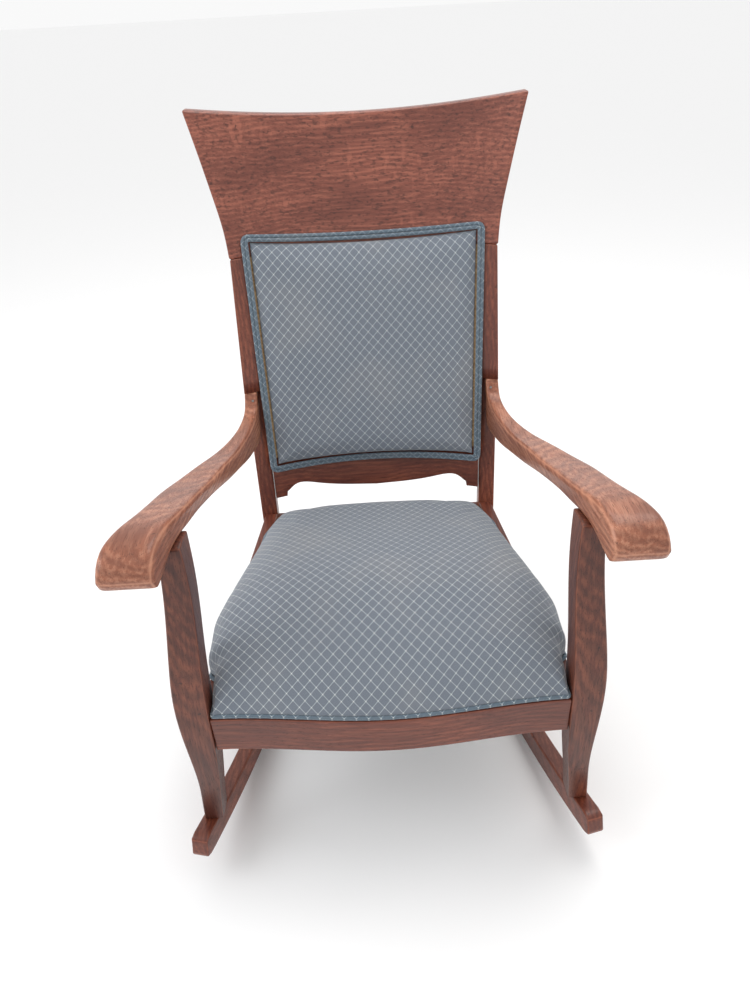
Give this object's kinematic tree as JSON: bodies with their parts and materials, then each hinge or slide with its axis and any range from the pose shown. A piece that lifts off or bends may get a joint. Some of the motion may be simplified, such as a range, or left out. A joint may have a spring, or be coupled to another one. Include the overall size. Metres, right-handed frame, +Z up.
{
  "type": "rocking chair",
  "caption": "Oak rocking chair with curved rockers, rolled arms, a wide flared crest board, a domed spring seat and a hollow padded back panel in woven fabric.",
  "frame": {"origin": "on the floor under the middle of the chair's overall box", "axes": "+X to the sitter's left, +Y from the front to the back, +Z up"},
  "size_m": [0.718, 0.844, 1.069],
  "materials": {
    "oak_frame": "quarter-sawn oak, stained reddish brown under worn satin varnish",
    "oak_arms": "oak worn lighter by hands, satin varnish",
    "plain_wood": "unfinished hardwood",
    "lattice_fabric": "slate-blue flat weave with a thin cream diagonal lattice and a dot at each crossing",
    "welt_cord": "the same lattice fabric sewn round a cord",
    "jute": "coarse jute",
    "padding": "cotton felt and hair stuffing",
    "dust_cloth": "thin black cambric",
    "steel": "dull steel"
  },
  "bodies": {
    "root": {"arm_dowels": "plain_wood", "arm_left": "oak_arms", "arm_right": "oak_arms", "arm_screws": "steel", "back_cover": "lattice_fabric", "back_slip_frame": "plain_wood", "back_stuffing": "padding", "back_webbing": "jute", "back_welt": "welt_cord", "corner_block_screws": "steel", "corner_blocks": "plain_wood", "crest_board": "oak_frame", "crest_dowels": "plain_wood", "dust_cover": "dust_cloth", "dust_cover_tacks": "steel", "front_leg_left": "oak_frame", "front_leg_right": "oak_frame", "front_seat_rail": "oak_frame", "lower_back_rail": "oak_frame", "outside_back_cover": "lattice_fabric", "rear_post_left": "oak_frame", "rear_post_right": "oak_frame", "rear_seat_rail": "plain_wood", "rocker_dowels": "plain_wood", "rocker_left": "oak_frame", "rocker_right": "oak_frame", "seat_batting": "padding", "seat_burlap": "jute", "seat_cover": "lattice_fabric", "seat_springs": "steel", "seat_stuffing": "padding", "seat_webbing": "jute", "seat_welt": "welt_cord", "side_seat_rail_left": "oak_frame", "side_seat_rail_right": "oak_frame"}
  },
  "joints": []
}
